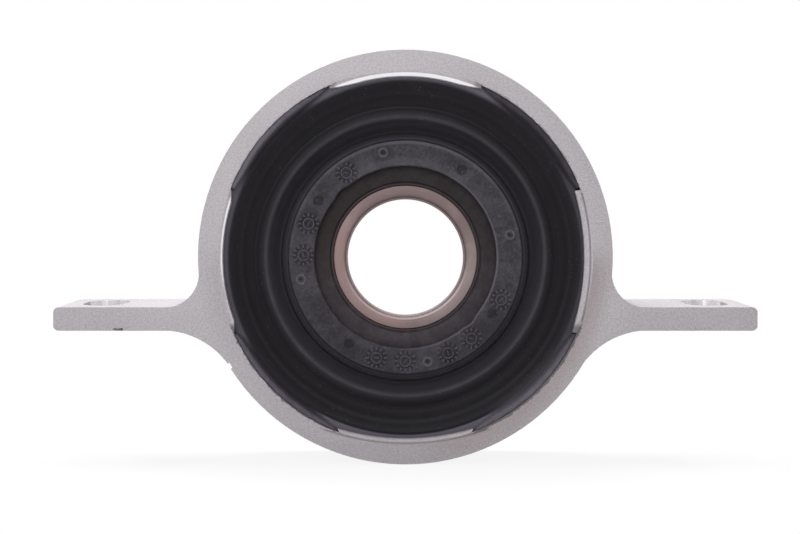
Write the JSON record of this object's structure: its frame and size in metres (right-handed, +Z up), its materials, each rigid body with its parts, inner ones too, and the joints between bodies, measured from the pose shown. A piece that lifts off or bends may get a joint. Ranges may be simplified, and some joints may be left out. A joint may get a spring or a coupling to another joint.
{
  "type": "driveshaft centre bearing",
  "caption": "Cast alloy ring bracket with slotted wings that holds a sealed ball bearing in a convoluted rubber bush and steadies the middle of a divided driveshaft.",
  "frame": {"origin": "middle of the bearing's bore, on the shaft's axis", "axes": "+Y along the shaft towards the rear, +Z up, +X towards the right wing seen from the front"},
  "size_m": [0.1738, 0.027, 0.1022],
  "materials": {
    "cast_alloy": "blasted as-cast alloy",
    "bush_rubber": "moulded black rubber",
    "pressed_steel": "pressed sheet",
    "bearing_steel": "ground, lightly oiled",
    "ball_steel": "polished",
    "seal_rubber": "moulded seal rubber"
  },
  "bodies": {
    "bracket": {"bracket": "cast_alloy", "rubber_bush": "bush_rubber"},
    "hub": {"bearing_carrier": "pressed_steel", "bearing_outer_ring": "bearing_steel", "seal_front": "seal_rubber", "seal_rear": "seal_rubber"},
    "inner_ring": {"bearing_inner_ring": "bearing_steel"},
    "cage": {"cage_front": "pressed_steel", "cage_rear": "pressed_steel", "cage_rivets": "pressed_steel"},
    "ball_01": {"ball_01": "ball_steel"},
    "ball_02": {"ball_02": "ball_steel"},
    "ball_03": {"ball_03": "ball_steel"},
    "ball_04": {"ball_04": "ball_steel"},
    "ball_05": {"ball_05": "ball_steel"},
    "ball_06": {"ball_06": "ball_steel"},
    "ball_07": {"ball_07": "ball_steel"},
    "ball_08": {"ball_08": "ball_steel"},
    "ball_09": {"ball_09": "ball_steel"},
    "ball_10": {"ball_10": "ball_steel"},
    "ball_11": {"ball_11": "ball_steel"}
  },
  "joints": [
    {"name": "hub_float", "type": "slide", "parent": "bracket", "child": "hub", "axis": [0, 1, 0], "range_m": [-0.006, 0.006], "stiffness_N_per_m": 15000, "deforming": ["rubber_bush"]},
    {"name": "inner_ring_spin", "type": "hinge", "parent": "hub", "child": "inner_ring", "pos_m": [0, 0, 0], "axis": [0, 1, 0], "continuous": true},
    {"name": "cage_orbit", "type": "hinge", "parent": "hub", "child": "cage", "pos_m": [0, 0, 0], "axis": [0, 1, 0], "continuous": true},
    {"name": "ball_01_spin", "type": "hinge", "parent": "cage", "child": "ball_01", "pos_m": [0, 0, 0.02125], "axis": [0, 1, 0], "continuous": true},
    {"name": "ball_02_spin", "type": "hinge", "parent": "cage", "child": "ball_02", "pos_m": [-0.01149, 0, 0.01788], "axis": [0, 1, 0], "continuous": true},
    {"name": "ball_03_spin", "type": "hinge", "parent": "cage", "child": "ball_03", "pos_m": [-0.01933, 0, 0.00883], "axis": [0, 1, 0], "continuous": true},
    {"name": "ball_04_spin", "type": "hinge", "parent": "cage", "child": "ball_04", "pos_m": [-0.02103, 0, -0.00302], "axis": [0, 1, 0], "continuous": true},
    {"name": "ball_05_spin", "type": "hinge", "parent": "cage", "child": "ball_05", "pos_m": [-0.01606, 0, -0.01392], "axis": [0, 1, 0], "continuous": true},
    {"name": "ball_06_spin", "type": "hinge", "parent": "cage", "child": "ball_06", "pos_m": [-0.00599, 0, -0.02039], "axis": [0, 1, 0], "continuous": true},
    {"name": "ball_07_spin", "type": "hinge", "parent": "cage", "child": "ball_07", "pos_m": [0.00599, 0, -0.02039], "axis": [0, 1, 0], "continuous": true},
    {"name": "ball_08_spin", "type": "hinge", "parent": "cage", "child": "ball_08", "pos_m": [0.01606, 0, -0.01392], "axis": [0, 1, 0], "continuous": true},
    {"name": "ball_09_spin", "type": "hinge", "parent": "cage", "child": "ball_09", "pos_m": [0.02103, 0, -0.00302], "axis": [0, 1, 0], "continuous": true},
    {"name": "ball_10_spin", "type": "hinge", "parent": "cage", "child": "ball_10", "pos_m": [0.01933, 0, 0.00883], "axis": [0, 1, 0], "continuous": true},
    {"name": "ball_11_spin", "type": "hinge", "parent": "cage", "child": "ball_11", "pos_m": [0.01149, 0, 0.01788], "axis": [0, 1, 0], "continuous": true}
  ],
  "couplings": [
    {"joint": "cage_orbit", "follows": "inner_ring_spin", "ratio": 0.41595},
    {"joint": "ball_01_spin", "follows": "inner_ring_spin", "ratio": -2.8905},
    {"joint": "ball_02_spin", "follows": "inner_ring_spin", "ratio": -2.8905},
    {"joint": "ball_03_spin", "follows": "inner_ring_spin", "ratio": -2.8905},
    {"joint": "ball_04_spin", "follows": "inner_ring_spin", "ratio": -2.8905},
    {"joint": "ball_05_spin", "follows": "inner_ring_spin", "ratio": -2.8905},
    {"joint": "ball_06_spin", "follows": "inner_ring_spin", "ratio": -2.8905},
    {"joint": "ball_07_spin", "follows": "inner_ring_spin", "ratio": -2.8905},
    {"joint": "ball_08_spin", "follows": "inner_ring_spin", "ratio": -2.8905},
    {"joint": "ball_09_spin", "follows": "inner_ring_spin", "ratio": -2.8905},
    {"joint": "ball_10_spin", "follows": "inner_ring_spin", "ratio": -2.8905},
    {"joint": "ball_11_spin", "follows": "inner_ring_spin", "ratio": -2.8905}
  ]
}
